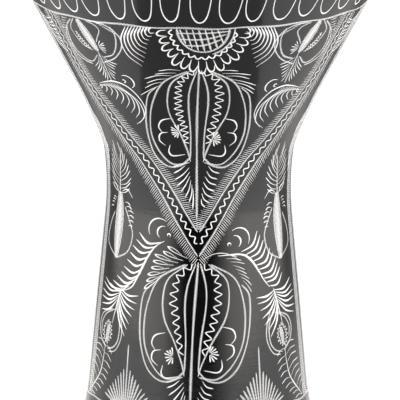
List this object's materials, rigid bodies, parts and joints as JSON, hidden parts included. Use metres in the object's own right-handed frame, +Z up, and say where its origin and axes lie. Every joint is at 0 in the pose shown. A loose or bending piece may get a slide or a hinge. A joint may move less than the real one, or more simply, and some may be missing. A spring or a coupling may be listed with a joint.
{
  "type": "goblet drum",
  "caption": "Engraved black goblet hand drum: spun metal bowl on a flared stem, film head pulled down by a bolted tuning ring.",
  "frame": {"origin": "centre of the foot's flat underside, on the floor", "axes": "+Z up along the drum's axis, from the foot to the head; bolt 1 lies on +X"},
  "size_m": [0.28, 0.28, 0.44],
  "materials": {
    "lacquered_shell": "gloss black lacquer over spun aluminium, cut through by bright engraved lines",
    "lacquered_ring": "gloss black lacquer over cast aluminium",
    "film": "coated polyester film, satin",
    "bare_metal": "bright cut or rolled bare aluminium",
    "lugs": "as cast",
    "hardware": "bright plated steel"
  },
  "bodies": {
    "drum_shell": {"bowl": "lacquered_shell", "stem": "lacquered_shell", "head_film": "film", "head_hoop": "bare_metal", "lug_rivets": "bare_metal", "lug_1": "lugs", "lug_2": "lugs", "lug_3": "lugs", "lug_4": "lugs", "lug_5": "lugs", "lug_6": "lugs", "lug_7": "lugs", "lug_8": "lugs"},
    "rim": {"tuning_ring": "lacquered_ring", "bolt_washer_1": "hardware", "bolt_washer_2": "hardware", "bolt_washer_3": "hardware", "bolt_washer_4": "hardware", "bolt_washer_5": "hardware", "bolt_washer_6": "hardware", "bolt_washer_7": "hardware", "bolt_washer_8": "hardware"},
    "bolt_1": {"tuning_bolt_1": "hardware"},
    "bolt_2": {"tuning_bolt_2": "hardware"},
    "bolt_3": {"tuning_bolt_3": "hardware"},
    "bolt_4": {"tuning_bolt_4": "hardware"},
    "bolt_5": {"tuning_bolt_5": "hardware"},
    "bolt_6": {"tuning_bolt_6": "hardware"},
    "bolt_7": {"tuning_bolt_7": "hardware"},
    "bolt_8": {"tuning_bolt_8": "hardware"}
  },
  "joints": [
    {"name": "ring_slide", "type": "slide", "parent": "drum_shell", "child": "rim", "axis": [0, 0, 1], "range_m": [0, 0.004]},
    {"name": "bolt_turn_1", "type": "hinge", "parent": "rim", "child": "bolt_1", "pos_m": [0.126, 0, 0.4331], "axis": [0, 0, 1], "range_deg": [0, 1440]},
    {"name": "bolt_turn_2", "type": "hinge", "parent": "rim", "child": "bolt_2", "pos_m": [0.08909, 0.08909, 0.4331], "axis": [0, 0, 1], "range_deg": [0, 1440]},
    {"name": "bolt_turn_3", "type": "hinge", "parent": "rim", "child": "bolt_3", "pos_m": [0, 0.126, 0.4331], "axis": [0, 0, 1], "range_deg": [0, 1440]},
    {"name": "bolt_turn_4", "type": "hinge", "parent": "rim", "child": "bolt_4", "pos_m": [-0.08909, 0.08909, 0.4331], "axis": [0, 0, 1], "range_deg": [0, 1440]},
    {"name": "bolt_turn_5", "type": "hinge", "parent": "rim", "child": "bolt_5", "pos_m": [-0.126, 0, 0.4331], "axis": [0, 0, 1], "range_deg": [0, 1440]},
    {"name": "bolt_turn_6", "type": "hinge", "parent": "rim", "child": "bolt_6", "pos_m": [-0.08909, -0.08909, 0.4331], "axis": [0, 0, 1], "range_deg": [0, 1440]},
    {"name": "bolt_turn_7", "type": "hinge", "parent": "rim", "child": "bolt_7", "pos_m": [0, -0.126, 0.4331], "axis": [0, 0, 1], "range_deg": [0, 1440]},
    {"name": "bolt_turn_8", "type": "hinge", "parent": "rim", "child": "bolt_8", "pos_m": [0.08909, -0.08909, 0.4331], "axis": [0, 0, 1], "range_deg": [0, 1440]}
  ],
  "couplings": [
    {"joint": "bolt_turn_1", "follows": "ring_slide", "rad_per_m": 6283.2},
    {"joint": "bolt_turn_2", "follows": "ring_slide", "rad_per_m": 6283.2},
    {"joint": "bolt_turn_3", "follows": "ring_slide", "rad_per_m": 6283.2},
    {"joint": "bolt_turn_4", "follows": "ring_slide", "rad_per_m": 6283.2},
    {"joint": "bolt_turn_5", "follows": "ring_slide", "rad_per_m": 6283.2},
    {"joint": "bolt_turn_6", "follows": "ring_slide", "rad_per_m": 6283.2},
    {"joint": "bolt_turn_7", "follows": "ring_slide", "rad_per_m": 6283.2},
    {"joint": "bolt_turn_8", "follows": "ring_slide", "rad_per_m": 6283.2}
  ]
}
